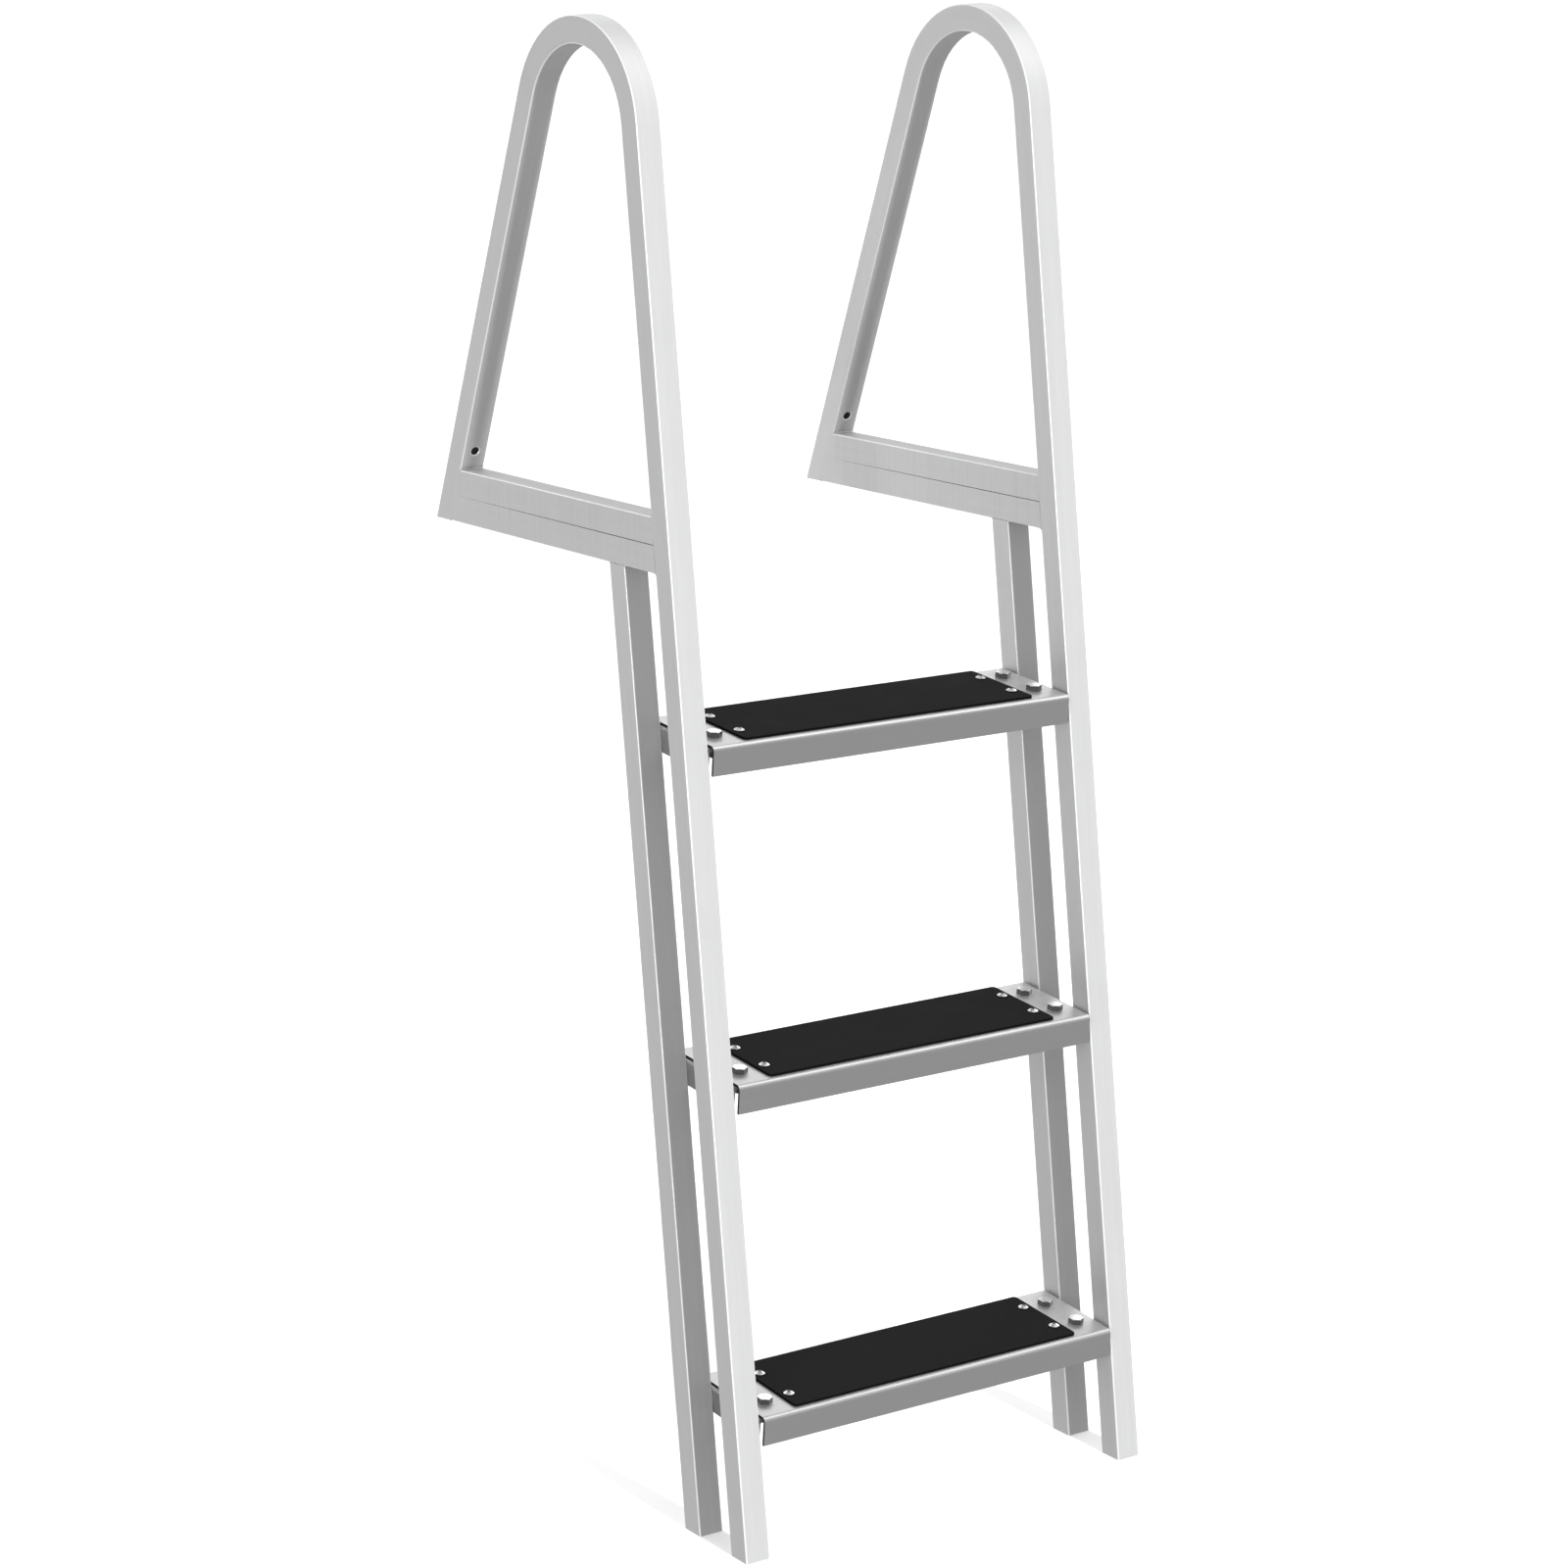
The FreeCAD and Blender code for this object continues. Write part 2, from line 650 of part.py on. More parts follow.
def mat_screws(number, name):
    """Low domed heads with a cross recess, standing on the mat."""
    body = new_body(f"mat_screws_{name}")
    rim = f"({dim('screw_head_dia')} / 2)"
    rise = f"({dim('screw_head')} - {dim('screw_rim')})"
    dome = f"(({rim} * {rim} + {rise} * {rise}) / (2 * {rise}))"
    profile = new_sketch(body, "XZ_Plane", f"{body.Name}_profile")
    shank = f"({dim('screw_dia')} / 2)"
    path = [
        ("0", dim("screw_head")),
        ("0", f"-{dim('screw_length')}"),
        (shank, f"-{dim('screw_length')}"),
        (shank, "0"),
        (rim, "0"),
        (rim, dim("screw_rim")),
    ]
    corners = [Vector(value(x), value(z), 0) for x, z in path]
    for start, end in zip(corners, corners[1:]):
        profile.addGeometry(Part.LineSegment(start, end), False)
    for index in range(len(path) - 2):
        profile.addConstraint(Sketcher.Constraint("Coincident", index, 2, index + 1, 1))
    for index in range(len(path) - 1):
        pin_point(profile, index, 1, path[index])
    last_line = len(path) - 2
    pin_point(profile, last_line, 2, path[-1])
    centre = Vector(0, value(dim("screw_head")) - value(dome), 0)
    whole = Part.Circle(centre, Vector(0, 0, 1), value(dome))
    start_angle = whole.parameter(corners[-1])
    end_angle = whole.parameter(corners[0])
    arc = profile.addGeometry(Part.ArcOfCircle(whole, start_angle, end_angle), False)
    profile.addConstraint(Sketcher.Constraint("Coincident", arc, 1, last_line, 2))
    profile.addConstraint(Sketcher.Constraint("Coincident", arc, 2, 0, 1))
    constrain(profile, "Radius", arc, size=dome)
    turned = body.newObject("PartDesign::Revolution", f"{body.Name}_turned")
    turned.Profile = profile
    turned.ReferenceAxis = (profile, ["V_Axis"])
    turned.Angle = 360.0
    turned.Refine = False
    doc.recompute()

    arm, slot = f"({dim('recess_span')} / 2)", f"({dim('recess_slot')} / 2)"
    cross = [
        (slot, slot), (arm, slot), (arm, f"-{slot}"), (slot, f"-{slot}"),
        (slot, f"-{arm}"), (f"-{slot}", f"-{arm}"), (f"-{slot}", f"-{slot}"), (f"-{arm}", f"-{slot}"),
        (f"-{arm}", slot), (f"-{slot}", slot), (f"-{slot}", arm), (slot, arm),
    ]
    floor = f"{dim('screw_head')} - {dim('recess_depth')}"
    recess = new_sketch(body, "XY_Plane", f"{body.Name}_recess", lift=floor)
    polygon(recess, cross)
    last = pocket(body, recess, f"2 * {dim('screw_head')}", both_ways=False, upward=True)
    spread(body, last, dim("screw_offset"), number, dim("mat_thick"))


def step_fasteners(number, name):
    step_bolts(number, name)
    under_bracket = f"-{dim('step_sheet')} - {dim('bracket_sheet')}"
    ring_group(
        f"step_washers_{name}",
        number,
        dim("bolt_offset"),
        dim("washer_dia"),
        dim("washer_bore"),
        dim("washer_sheet"),
        f"{under_bracket} - {dim('washer_sheet')}",
    )
    ring_group(
        f"step_nuts_{name}",
        number,
        dim("bolt_offset"),
        None,
        dim("nut_bore"),
        dim("nut_height"),
        f"{under_bracket} - {dim('washer_sheet')} - {dim('nut_height')}",
        flats=dim("bolt_flats"),
    )
    mat_screws(number, name)
    ring_group(
        f"mat_nuts_{name}",
        number,
        dim("screw_offset"),
        None,
        dim("mat_nut_bore"),
        dim("mat_nut_height"),
        f"-{dim('step_sheet')} - {dim('mat_nut_height')}",
        flats=dim("mat_nut_flats"),
    )


# ---------------------------------------------------------------- the whole ladder

for side in SIDES:
    handrail(side)
    rear_leg(side)
    for level_name in ("lower", "upper"):
        bracket_bar(level_name, side)

for number, name in enumerate(STEPS):
    step_channel(number, name)
    mat(number, name)
    for side in SIDES:
        angle_bracket(number, name, side)
    step_fasteners(number, name)

doc.recompute()

for item in doc.Objects:
    if "Invalid" in item.State or "Error" in item.State:
        raise ValueError(f"{item.Label} failed: {item.State}")
for body in subparts:
    if body.Shape.isNull() or not body.Shape.isValid():
        raise ValueError(f"{body.Label} has no valid shape")

os.makedirs("parts", exist_ok=True)
for body in subparts:
    body.Shape.exportStep(f"parts/{body.Label}.step")
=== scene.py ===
import json
import math

import bmesh
import bpy
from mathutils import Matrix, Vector, noise


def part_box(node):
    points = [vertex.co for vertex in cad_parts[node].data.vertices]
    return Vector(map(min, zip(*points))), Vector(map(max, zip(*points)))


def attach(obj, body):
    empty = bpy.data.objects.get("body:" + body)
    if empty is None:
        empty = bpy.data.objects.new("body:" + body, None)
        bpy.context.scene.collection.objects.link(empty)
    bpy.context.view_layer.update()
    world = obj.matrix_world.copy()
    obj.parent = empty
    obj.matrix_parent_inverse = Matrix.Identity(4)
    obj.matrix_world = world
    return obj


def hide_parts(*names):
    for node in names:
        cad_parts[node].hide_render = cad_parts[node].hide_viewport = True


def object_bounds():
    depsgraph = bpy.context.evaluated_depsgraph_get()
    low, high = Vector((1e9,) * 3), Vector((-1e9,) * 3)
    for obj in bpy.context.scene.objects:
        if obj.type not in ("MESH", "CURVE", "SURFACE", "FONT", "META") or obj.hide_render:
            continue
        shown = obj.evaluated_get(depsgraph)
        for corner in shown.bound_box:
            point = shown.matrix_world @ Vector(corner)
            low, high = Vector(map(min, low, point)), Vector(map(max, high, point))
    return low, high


# The looks of a boat boarding ladder: satin square tube, folded steps, rubber mats, stainless
# fasteners and the welds between them. Metres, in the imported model's own frame: X runs to the
# right along the steps, Y back towards the dock, Z up.

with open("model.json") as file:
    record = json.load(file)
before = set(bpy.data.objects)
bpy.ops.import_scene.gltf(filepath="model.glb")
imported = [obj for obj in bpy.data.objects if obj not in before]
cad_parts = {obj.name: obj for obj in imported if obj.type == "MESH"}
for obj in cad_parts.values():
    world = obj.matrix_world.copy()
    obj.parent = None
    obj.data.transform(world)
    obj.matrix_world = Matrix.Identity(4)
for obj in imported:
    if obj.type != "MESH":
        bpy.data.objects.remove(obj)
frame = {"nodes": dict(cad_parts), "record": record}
cad_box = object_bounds()

SIDES = {"left": -1, "right": 1}
STEPS = ("lower", "middle", "upper")

LEG_TILT = math.radians(7.4)  # legs lean back from their feet
RAIL_TILT = math.radians(21.5)  # back tubes lean forward from the dock end
STEP_TILT = math.radians(5.0)  # the steps' front edges are lower
TUBE = 0.0254
TUBE_ROUND = 0.0015  # radius of a tube's long edges
BEND_INSIDE = 0.090  # inside radius of the hairpin bend

X_AXIS = (1, 0, 0)
UP_LEG = Vector((0, math.sin(LEG_TILT), math.cos(LEG_TILT)))
OUT_LEG = Vector((0, -math.cos(LEG_TILT), math.sin(LEG_TILT)))
UP_RAIL = Vector((0, -math.sin(RAIL_TILT), math.cos(RAIL_TILT)))
OUT_RAIL = Vector((0, math.cos(RAIL_TILT), math.sin(RAIL_TILT)))
ACROSS_STEP = Vector((0, math.cos(STEP_TILT), math.sin(STEP_TILT)))
UP_STEP = Vector((0, -math.sin(STEP_TILT), math.cos(STEP_TILT)))
HOLES = [
    mount for mount in frame["record"]["mounts"] if mount["name"].startswith("fixing_hole")
]


def bend_centre():
    """Centre of the hairpin bend, from the handrail's box: both straight runs are tangent to it."""
    low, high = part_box("handrail_left")
    radius = BEND_INSIDE + TUBE / 2
    z = high.z - radius
    y = low.y + z * math.tan(LEG_TILT) + radius / math.cos(LEG_TILT)
    return Vector((0, y, z))


def tube_middle(side):
    low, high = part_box(f"handrail_{side}")
    return (low.x + high.x) / 2


# ---------------------------------------------------------------- materials


class Shader:
    """A material being built: each call adds a node and gives back its output."""

    def __init__(self, name):
        self.material = bpy.data.materials.new(name)
        self.material.use_nodes = True
        self.nodes = self.material.node_tree.nodes
        self.links = self.material.node_tree.links
        self.surface = self.nodes["Principled BSDF"]
        self.place = self.add("ShaderNodeTexCoord", "Object")
        self.normal = self.add("ShaderNodeTexCoord", "Normal")

    def feed(self, socket, source):
        if isinstance(source, bpy.types.NodeSocket):
            self.links.new(source, socket)
        else:
            socket.default_value = source

    def add(self, kind, output=0, inputs=(), **settings):
        node = self.nodes.new(kind)
        for key, setting in settings.items():
            setattr(node, key, setting)
        for key, source in dict(inputs).items():
            self.feed(node.inputs[key], source)
        return node.outputs[output]

    def math(self, operation, *values):
        return self.add("ShaderNodeMath", inputs=enumerate(values), operation=operation)

    def vector_math(self, operation, output, *values):
        return self.add(
            "ShaderNodeVectorMath", output, enumerate(values), operation=operation
        )

    def along(self, vector, direction):
        return self.vector_math("DOT_PRODUCT", "Value", vector, tuple(direction))

    def combine(self, x, y, z):
        return self.add("ShaderNodeCombineXYZ", inputs={0: x, 1: y, 2: z})

    def scaled(self, vector, scale):
        return self.vector_math("MULTIPLY", 0, vector, tuple(scale))

    def noise(self, vector, scale, detail=2.0, roughness=0.5):
        inputs = {"Vector": vector, "Scale": scale, "Detail": detail, "Roughness": roughness}
        return self.add("ShaderNodeTexNoise", "Fac", inputs)

    def remap(self, value, low, high, to_low=0.0, to_high=1.0):
        inputs = {
            "Value": value,
            "From Min": low,
            "From Max": high,
            "To Min": to_low,
            "To Max": to_high,
        }
        return self.add(
            "ShaderNodeMapRange", "Result", inputs, interpolation_type="SMOOTHSTEP"
        )

    def mix(self, factor, first, second):
        node = self.nodes.new("ShaderNodeMix")
        node.data_type = "RGBA"
        colours = [socket for socket in node.inputs if socket.type == "RGBA"]
        for socket, source in zip([node.inputs[0]] + colours, (factor, first, second)):
            self.feed(socket, source)
        return next(socket for socket in node.outputs if socket.type == "RGBA")

    def partly(self, share, mask, first, second):
        """The first tone, with that share of the second where the mask is 1."""
        return self.mix(self.math("MULTIPLY", mask, share), first, second)

    def bump(self, height, distance, normal=None):
        inputs = {"Height": height, "Distance": distance}
        if normal is not None:
            inputs["Normal"] = normal
        return self.add("ShaderNodeBump", inputs=inputs)

    def fold(self, axis):
        """1 in the middle of a rounded edge, 0 on flats along the axis or square to it."""
        part = self.along(self.normal, axis)
        square = self.math("MULTIPLY", part, part)
        rest = self.math("SUBTRACT", 1.0, square)
        return self.math("MULTIPLY", self.math("MULTIPLY", square, 4.0), rest)


def grey(value, blue=0.0):
    return (value * (1 - blue), value, value * (1 + blue), 1.0)


GRAIN = 1500.0  # fine grain lines to a metre, across the piece
DRAW = 14.0  # and along it
GRAIN_DEPTH = 0.000015
MOTTLE = 16.0  # scale of the faint clouds in the finish
MOTTLE_DEPTH = 0.0002
EDGE_HIGHLIGHT_TONE = 0.97  # edges get a painted highlight towards this tone
EDGE_POLISH = 0.15  # and are smoother than the flats by this much
MARK_SHARE = 0.25  # how strongly sanding marks show in the tone
MARK_ROUGHNESS = 0.06  # and in the roughness


def aluminium(
    name,
    grain,
    fold_axis,
    base=0.62,
    rough=0.42,
    metal=0.35,
    edge_highlight=0.85,
    marks=None,
    overlay_with_painted_shade=None,
):
    """Satin aluminium: grain drawn along the piece, faint mottling, and smoother edges with a
    painted highlight.
    """
    s = Shader(name)
    grain_space = grain(s)
    fine = s.noise(grain_space, 1.0, 3.0, 0.6)
    bands = s.noise(grain_space, 0.12, 2.0)
    mottle = s.noise(s.place, MOTTLE, 4.0, 0.6)
    edge = s.fold(fold_axis)

    tone = s.mix(s.remap(fine, 0.3, 0.7), grey(base * 0.965), grey(base * 1.02, 0.004))
    tone = s.mix(s.remap(bands, 0.35, 0.65, 0.0, 0.35), tone, grey(base * 0.93, 0.006))
    tone = s.mix(s.remap(mottle, 0.45, 0.75, 0.0, 0.30), tone, grey(base * 0.90))
    roughness = s.math("ADD", rough, s.remap(fine, 0.3, 0.7, -0.04, 0.05))
    if marks is not None:
        scuff = marks(s)
        tone = s.partly(MARK_SHARE, scuff, tone, grey(base * 0.86))
        roughness = s.math("ADD", roughness, s.math("MULTIPLY", scuff, MARK_ROUGHNESS))
    # painted highlight: the rounded edges are lightened towards near white
    tone = s.partly(edge_highlight, edge, tone, grey(EDGE_HIGHLIGHT_TONE))
    # an overlay adds painted shade to some pieces, and bright chamfers round the fixing holes
    if overlay_with_painted_shade is not None:
        tone = overlay_with_painted_shade(s, tone)
    s.feed(s.surface.inputs["Base Color"], tone)
    roughness = s.math("SUBTRACT", roughness, s.math("MULTIPLY", edge, EDGE_POLISH))
    s.feed(s.surface.inputs["Roughness"], roughness)
    s.feed(s.surface.inputs["Normal"], s.bump(fine, GRAIN_DEPTH, s.bump(mottle, MOTTLE_DEPTH)))
    s.surface.inputs["Metallic"].default_value = metal
    return s.material


def tube_grain(across):
    """Grain for upright square tube, given how far a point is across the tube, front to back."""
    def space(s):
        side = s.along(s.place, (GRAIN, 0, 0))
        drawn = s.along(s.place, (0, 0, DRAW))
        return s.combine(side, s.math("MULTIPLY", across(s), GRAIN), drawn)

    return space


def across_handrail(s):
    """Distance from the bend's centre, counted square to the tube all the way round."""
    away = s.vector_math("SUBTRACT", 0, s.place, tuple(bend_centre()))
    flat = s.scaled(away, (0, 1, 1))
    radius = s.vector_math("LENGTH", "Value", flat)
    straight = s.math("MAXIMUM", s.along(away, OUT_LEG), s.along(away, OUT_RAIL))
    over_leg = s.math("GREATER_THAN", s.along(away, UP_LEG), 0.0)
    over_rail = s.math("GREATER_THAN", s.along(away, UP_RAIL), 0.0)
    in_bend = s.math("MULTIPLY", over_leg, over_rail)
    in_straight = s.math("SUBTRACT", 1.0, in_bend)
    bent = s.math("MULTIPLY", radius, in_bend)
    return s.math("ADD", bent, s.math("MULTIPLY", straight, in_straight))


def across_rear_leg(s):
    return s.along(s.place, OUT_LEG)


def bar_grain(s):
    return s.scaled(s.place, (GRAIN, DRAW, GRAIN))


def step_grain(s):
    return s.scaled(s.place, (DRAW, GRAIN, GRAIN))


def sanding_marks(s):
    """Soft upright streaks where the welds between the bars were sanded flush."""
    streaks = s.noise(s.scaled(s.place, (60, 260, 9)), 1.0, 3.0, 0.65)
    return s.remap(streaks, 0.46, 0.68)


def hole_rims(s, tone):
    """Bright chamfers round the fixing holes, and painted shade in the bores behind them."""
    near = -TUBE / 2  # depth of the tube's near face, from its middle
    for mount in HOLES:
        bore = mount["dims"]["r_mm"] / 1000
        away = s.vector_math("SUBTRACT", 0, s.place, tuple(mount["pos_m"]))
        depth = s.along(away, Vector(mount["axis"]))
        length = s.vector_math("LENGTH", "Value", away)
        square = s.math(
            "SUBTRACT", s.math("MULTIPLY", length, length), s.math("MULTIPLY", depth, depth)
        )
        radius = s.math("SQRT", s.math("MAXIMUM", square, 0.0))
        ring = s.remap(radius, bore + 0.0013, bore + 0.0009)
        in_tube = s.remap(s.math("ABSOLUTE", depth), TUBE * 0.6, TUBE * 0.55)
        rim = s.math("MULTIPLY", ring, in_tube)
        at_face = s.remap(depth, near + 0.002, near + 0.001)
        tone = s.mix(s.math("MULTIPLY", rim, at_face), tone, grey(1.0))
        # painted shade: the bore wall behind the chamfer goes near black
        inside = s.remap(depth, near + 0.0006, near + 0.0010)
        wall = s.remap(radius, bore + 0.0004, bore + 0.0002)
        tone = s.mix(s.math("MULTIPLY", inside, wall), tone, grey(0.03))
    return tone


def painted_step_shade(s, tone):
    """Painted shade on a folded step: near black sheared ends, a darker front flange, and darker
    underside and rear faces.
    """
    end = s.math("ABSOLUTE", s.along(s.normal, X_AXIS))
    front = s.along(s.normal, -ACROSS_STEP)
    under = s.along(s.normal, -UP_STEP)
    rear = s.along(s.normal, ACROSS_STEP)
    # painted shade, set by which way each face of the step points
    tone = s.mix(s.remap(end, 0.5, 0.8), tone, grey(0.06))
    tone = s.partly(0.7, s.remap(front, 0.80, 0.98), tone, grey(0.42))
    tone = s.partly(0.8, s.remap(under, 0.3, 0.8), tone, grey(0.20))
    return s.partly(0.5, s.remap(rear, 0.3, 0.8), tone, grey(0.30))


def notch_shadow(s, tone):
    """Painted shade in the line left between the two bars."""
    from_centre = s.math("ABSOLUTE", s.along(s.place, X_AXIS))
    off_middle = s.math("SUBTRACT", from_centre, tube_middle("right"))
    under_face = s.math("SUBTRACT", TUBE / 2, s.math("ABSOLUTE", off_middle))
    # painted shade darkens the fine line along the seam
    return s.mix(s.remap(under_face, 0.00006, 0.00018), tone, grey(0.05))


def rubber(name):
    s = Shader(name)
    pebble = s.noise(s.place, 1400.0, 2.0, 0.6)
    cloud = s.noise(s.place, 30.0, 3.0)
    tone = s.mix(s.remap(cloud, 0.35, 0.7), grey(0.0125), grey(0.0145))
    tone = s.mix(s.remap(pebble, 0.55, 0.8), tone, grey(0.0185))
    # painted shade: the mat's upright sides go near black
    level = s.math("ABSOLUTE", s.along(s.normal, UP_STEP))
    tone = s.mix(s.remap(level, 0.5, 0.95), grey(0.004), tone)
    s.feed(s.surface.inputs["Base Color"], tone)
    s.feed(s.surface.inputs["Roughness"], s.remap(cloud, 0.3, 0.7, 0.70, 0.82))
    s.feed(s.surface.inputs["Normal"], s.bump(pebble, 0.00008))
    s.surface.inputs["Specular IOR Level"].default_value = 0.03
    return s.material


def stainless(name):
    """Bright turned steel, with painted shade on the upright flats of the bolt heads."""
    s = Shader(name)
    turned = s.noise(s.scaled(s.place, (2500, 2500, 900)), 1.0, 2.0)
    cloud = s.noise(s.place, 260.0, 3.0)
    tone = s.mix(s.remap(cloud, 0.35, 0.7), grey(0.95), grey(0.88))
    # painted shade: upright flats of the heads go dark
    level = s.math("ABSOLUTE", s.along(s.normal, UP_STEP))
    tone = s.mix(s.remap(level, 0.30, 0.60), grey(0.17), tone)
    s.feed(s.surface.inputs["Base Color"], tone)
    s.feed(s.surface.inputs["Roughness"], s.remap(turned, 0.3, 0.7, 0.24, 0.34))
    s.feed(s.surface.inputs["Normal"], s.bump(turned, 0.00002))
    s.surface.inputs["Metallic"].default_value = 1.0
    return s.material


def weld_metal(name):
    s = Shader(name)
    grain = s.noise(s.place, 900.0, 3.0, 0.6)
    cloud = s.noise(s.place, 90.0, 3.0)
    tone = s.mix(s.remap(cloud, 0.35, 0.7), grey(0.60), grey(0.50))
    s.feed(s.surface.inputs["Base Color"], tone)
    s.feed(s.surface.inputs["Roughness"], s.remap(grain, 0.3, 0.7, 0.34, 0.5))
    s.feed(s.surface.inputs["Normal"], s.bump(grain, 0.00005))
    s.surface.inputs["Metallic"].default_value = 0.7
    return s.material


SANDED = {"rough": 0.46, "metal": 0.25, "marks": sanding_marks}
# steps get a painted highlight on the bend and painted shade on their ends, flange, underside and
# rear
SHEET = {"rough": 0.42, "metal": 0.85, "edge_highlight": 0.45, "overlay_with_painted_shade": painted_step_shade}
LOOKS = {
    "handrail": aluminium(
        "aluminium_handrail", tube_grain(across_handrail), X_AXIS, overlay_with_painted_shade=hole_rims
    ),
    "rear_leg": aluminium("aluminium_leg", tube_grain(across_rear_leg), X_AXIS),
    "lower_bar": aluminium("aluminium_bar", bar_grain, X_AXIS, **SANDED),
    "ground_weld": aluminium(
        "aluminium_ground", bar_grain, X_AXIS, edge_highlight=0.3, overlay_with_painted_shade=notch_shadow, **SANDED
    ),
    "step": aluminium("aluminium_step", step_grain, UP_STEP, base=0.70, **SHEET),
    # the bracket's darker base is painted shade, for its place under the step
    "bracket": aluminium(
        "aluminium_bracket", bar_grain, UP_STEP, base=0.42, rough=0.36, metal=0.9, edge_highlight=0.4
    ),
    "mat": rubber("rubber_mat_grain"),
    "step_bolts": stainless("stainless_fastener"),
    "weld": weld_metal("weld_bead_metal"),
}
LOOKS["upper_bar"] = LOOKS["lower_bar"]
for fastener in ("step_washers", "step_nuts", "mat_screws", "mat_nuts"):
    LOOKS[fastener] = LOOKS["step_bolts"]

for node_name, node in frame["nodes"].items():
    kind = max((key for key in LOOKS if node_name.startswith(key)), key=len)
    for material_slot in node.material_slots:
        material_slot.material = LOOKS[kind]


# ---------------------------------------------------------------- mesh helpers

SHARP_ANGLE = math.radians(35)


def piece(name, bm, look, slot, *replaced):
    """Make an object of a finished mesh, give it its look and let it ride with the ladder."""
    bmesh.ops.recalc_face_normals(bm, faces=bm.faces)
    mesh = bpy.data.meshes.new(name)
    bm.to_mesh(mesh)
    bm.free()
    obj = bpy.data.objects.new(name, mesh)
    bpy.context.scene.collection.objects.link(obj)
    mesh.materials.append(look)
    mesh.shade_smooth()
    mesh.set_sharp_from_angle(angle=SHARP_ANGLE)
    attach(obj, "root")
    if replaced:
        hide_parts(*replaced)
    return obj


def loft(bm, sections):
    """A closed skin through a row of closed sections that all have the same number of points."""
    rings = [[bm.verts.new(point) for point in section] for section in sections]
    for ring, following in zip(rings, rings[1:]):
        for index in range(len(ring)):
            after = (index + 1) % len(ring)
            bm.faces.new((ring[index], ring[after], following[after], following[index]))
    bm.faces.new(reversed(rings[0]))
    bm.faces.new(rings[-1])


def between(start, end, count):
    return [start.lerp(end, index / (count - 1)) for index in range(count)]


def leg_face(offset, z):
    """Y of a plane parallel to the front leg's front face, offset behind it, at a height."""
    low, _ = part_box("handrail_left")
    return low.y + offset / math.cos(LEG_TILT) + (z - low.z) * math.tan(LEG_TILT)


def rail_face(offset, z):
    """Y of a plane parallel to the back tube's back face, offset ahead of it, at a height."""
    _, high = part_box("handrail_left")
    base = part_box("lower_bar_left")[0].z
    return high.y - offset / math.cos(RAIL_TILT) - (z - base) * math.tan(RAIL_TILT)


def leg_spacing(side):
    """Front face of the front leg to front face of the rear leg, square to them."""
    front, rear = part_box(f"handrail_{side}")[0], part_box(f"rear_leg_{side}")[0]
    return (rear.y - front.y) * math.cos(LEG_TILT)


def tilted_block(node_name):
    """Middle, depth and height of a node that lies square in a step's tilted frame."""
    low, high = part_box(node_name)
    size = high - low
    cosine, sine, spread = math.cos(STEP_TILT), math.sin(STEP_TILT), math.cos(2 * STEP_TILT)
    depth = (size.y * cosine - size.z * sine) / spread
    height = (size.z * cosine - size.y * sine) / spread
    return (low + high) / 2, depth, height


# ---------------------------------------------------------------- welds

WELD_FLUSH = 0.00004  # a ground weld lies this far under the face around it
WELD_SINK = 0.0013  # and reaches this deep between the rounded edges
NOTCH_HALF = 0.00035  # half the width of the line left in the middle of a ground seam
NO_NOTCH = 0.00002
LEG_NOTCH = 0.00025  # depth of the line at the front leg, at its lower end
SEAM_NOTCHES = 0.00005, 0.0007  # depth of the line between the bars, at the back and front
STRIP_SECTIONS = 40

BEAD_ROOT = 0.0006  # a fillet weld reaches this far into its corner
BEAD_SINK = 0.0004  # and its toes this far under the faces
BEAD_END = 0.0005  # its ends are drawn in by this much
BEAD_BODY = 0.94  # over the last few hundredths of its half length
CURVE_POINTS = 9

CORNER_BEAD = 0.005  # radius of the large fillet under the bar at the front leg
SMALL_BEAD = 0.002
BRACKET_BEAD = 0.0026
RIPPLE = 0.0022  # length of one ripple of a bead
PER_RIPPLE = 5  # sections to a ripple
ROUND_POINTS = 7


def ground_strip(
    bm, start, end, across, out, half_width, notch_start=NO_NOTCH, notch_end=NO_NOTCH
):
    """Weld ground flush between two rounded edges, with a fine line left down its middle."""
    sections = []
    for index, point in enumerate(between(start, end, STRIP_SECTIONS)):
        share = index / (STRIP_SECTIONS - 1)
        uneven = 1 + 0.35 * noise.noise(point * 160)
        notch = (notch_start + (notch_end - notch_start) * share) * uneven
        profile = [
            (-half_width, -WELD_SINK),
            (-half_width, -WELD_FLUSH),
            (-NOTCH_HALF, -WELD_FLUSH),
            (0, -WELD_FLUSH - notch),
            (NOTCH_HALF, -WELD_FLUSH),
            (half_width, -WELD_FLUSH),
            (half_width, -WELD_SINK),
        ]
        sections.append([point + across * a + out * o for a, o in profile])
    loft(bm, sections)


def ground_welds(side):
    """The flush welds round the bars' ends and along their seam, on both faces of a frame."""
    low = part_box(f"lower_bar_{side}")[0].z
    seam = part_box(f"lower_bar_{side}")[1].z
    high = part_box(f"upper_bar_{side}")[1].z
    up = Vector((0, 0, 1))
    half = TUBE_ROUND / 2
    inset = TUBE - half
    bm = bmesh.new()
    for face in (-1, 1):
        x = tube_middle(side) + face * TUBE / 2
        out = Vector((face, 0, 0))
        back = Vector((x, rail_face(TUBE, seam), seam))
        front = Vector((x, leg_face(TUBE, seam), seam))
        ground_strip(bm, back, front, up, out, TUBE_ROUND, *SEAM_NOTCHES)
        for place, across, notch in (
            (leg_face, -OUT_LEG, LEG_NOTCH),
            (rail_face, OUT_RAIL, NO_NOTCH),
        ):
            foot, top = (Vector((x, place(inset, z), z)) for z in (low, high))
            ground_strip(bm, foot, top, across, out, half, notch)
    piece(f"ground_welds_{side}", bm, LOOKS["ground_weld"], "aluminium_tube")


